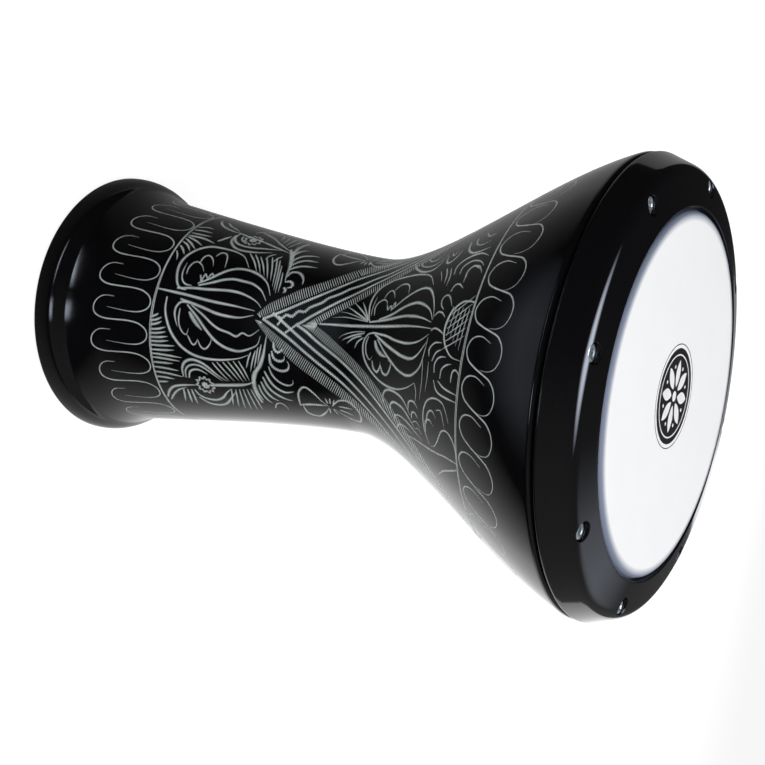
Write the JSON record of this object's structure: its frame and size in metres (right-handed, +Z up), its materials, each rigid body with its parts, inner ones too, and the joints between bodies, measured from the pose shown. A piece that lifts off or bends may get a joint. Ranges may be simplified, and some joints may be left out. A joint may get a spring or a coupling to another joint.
{
  "type": "goblet drum",
  "caption": "Goblet-shaped hand drum: cast shell with a flared foot, narrow waist and wide bowl, and a film head drawn tight by a bevelled ring and socket screws.",
  "frame": {"origin": "centre of the foot's flat rim, on the surface that the drum stands on", "axes": "+Z up the drum's axis from the foot to the playing surface; +X and +Y across it, with the first screw 40 degrees from +X towards +Y"},
  "size_m": [0.2852, 0.2852, 0.43],
  "materials": {
    "shell_casting": "cast aluminium under black gloss lacquer, with engraved bare-metal ornament",
    "ring_casting": "cast aluminium under black gloss lacquer",
    "head_film": "white polyester film, satin gloss",
    "hoop_metal": "bare turned aluminium",
    "screw_metal": "bright zinc plate"
  },
  "bodies": {
    "drum": {"shell": "shell_casting", "head_film": "head_film"},
    "ring": {"tuning_ring": "ring_casting", "flesh_hoop": "hoop_metal"},
    "screw_1": {"tuning_bolt_1": "screw_metal"},
    "screw_2": {"tuning_bolt_2": "screw_metal"},
    "screw_3": {"tuning_bolt_3": "screw_metal"},
    "screw_4": {"tuning_bolt_4": "screw_metal"},
    "screw_5": {"tuning_bolt_5": "screw_metal"},
    "screw_6": {"tuning_bolt_6": "screw_metal"},
    "screw_7": {"tuning_bolt_7": "screw_metal"},
    "screw_8": {"tuning_bolt_8": "screw_metal"}
  },
  "joints": [
    {"name": "ring_travel", "type": "slide", "parent": "drum", "child": "ring", "axis": [0, 0, 1], "range_m": [-0.001, 0.002]},
    {"name": "screw_1_turn", "type": "hinge", "parent": "ring", "child": "screw_1", "pos_m": [0.09805, 0.08228, 0.418], "axis": [0, 0, 1], "range_deg": [-360, 720]},
    {"name": "screw_2_turn", "type": "hinge", "parent": "ring", "child": "screw_2", "pos_m": [0.01116, 0.12751, 0.418], "axis": [0, 0, 1], "range_deg": [-360, 720]},
    {"name": "screw_3_turn", "type": "hinge", "parent": "ring", "child": "screw_3", "pos_m": [-0.08228, 0.09805, 0.418], "axis": [0, 0, 1], "range_deg": [-360, 720]},
    {"name": "screw_4_turn", "type": "hinge", "parent": "ring", "child": "screw_4", "pos_m": [-0.12751, 0.01116, 0.418], "axis": [0, 0, 1], "range_deg": [-360, 720]},
    {"name": "screw_5_turn", "type": "hinge", "parent": "ring", "child": "screw_5", "pos_m": [-0.09805, -0.08228, 0.418], "axis": [0, 0, 1], "range_deg": [-360, 720]},
    {"name": "screw_6_turn", "type": "hinge", "parent": "ring", "child": "screw_6", "pos_m": [-0.01116, -0.12751, 0.418], "axis": [0, 0, 1], "range_deg": [-360, 720]},
    {"name": "screw_7_turn", "type": "hinge", "parent": "ring", "child": "screw_7", "pos_m": [0.08228, -0.09805, 0.418], "axis": [0, 0, 1], "range_deg": [-360, 720]},
    {"name": "screw_8_turn", "type": "hinge", "parent": "ring", "child": "screw_8", "pos_m": [0.12751, -0.01116, 0.418], "axis": [0, 0, 1], "range_deg": [-360, 720]}
  ],
  "couplings": [
    {"joint": "screw_1_turn", "follows": "ring_travel", "rad_per_m": 6283.2},
    {"joint": "screw_2_turn", "follows": "ring_travel", "rad_per_m": 6283.2},
    {"joint": "screw_3_turn", "follows": "ring_travel", "rad_per_m": 6283.2},
    {"joint": "screw_4_turn", "follows": "ring_travel", "rad_per_m": 6283.2},
    {"joint": "screw_5_turn", "follows": "ring_travel", "rad_per_m": 6283.2},
    {"joint": "screw_6_turn", "follows": "ring_travel", "rad_per_m": 6283.2},
    {"joint": "screw_7_turn", "follows": "ring_travel", "rad_per_m": 6283.2},
    {"joint": "screw_8_turn", "follows": "ring_travel", "rad_per_m": 6283.2}
  ]
}
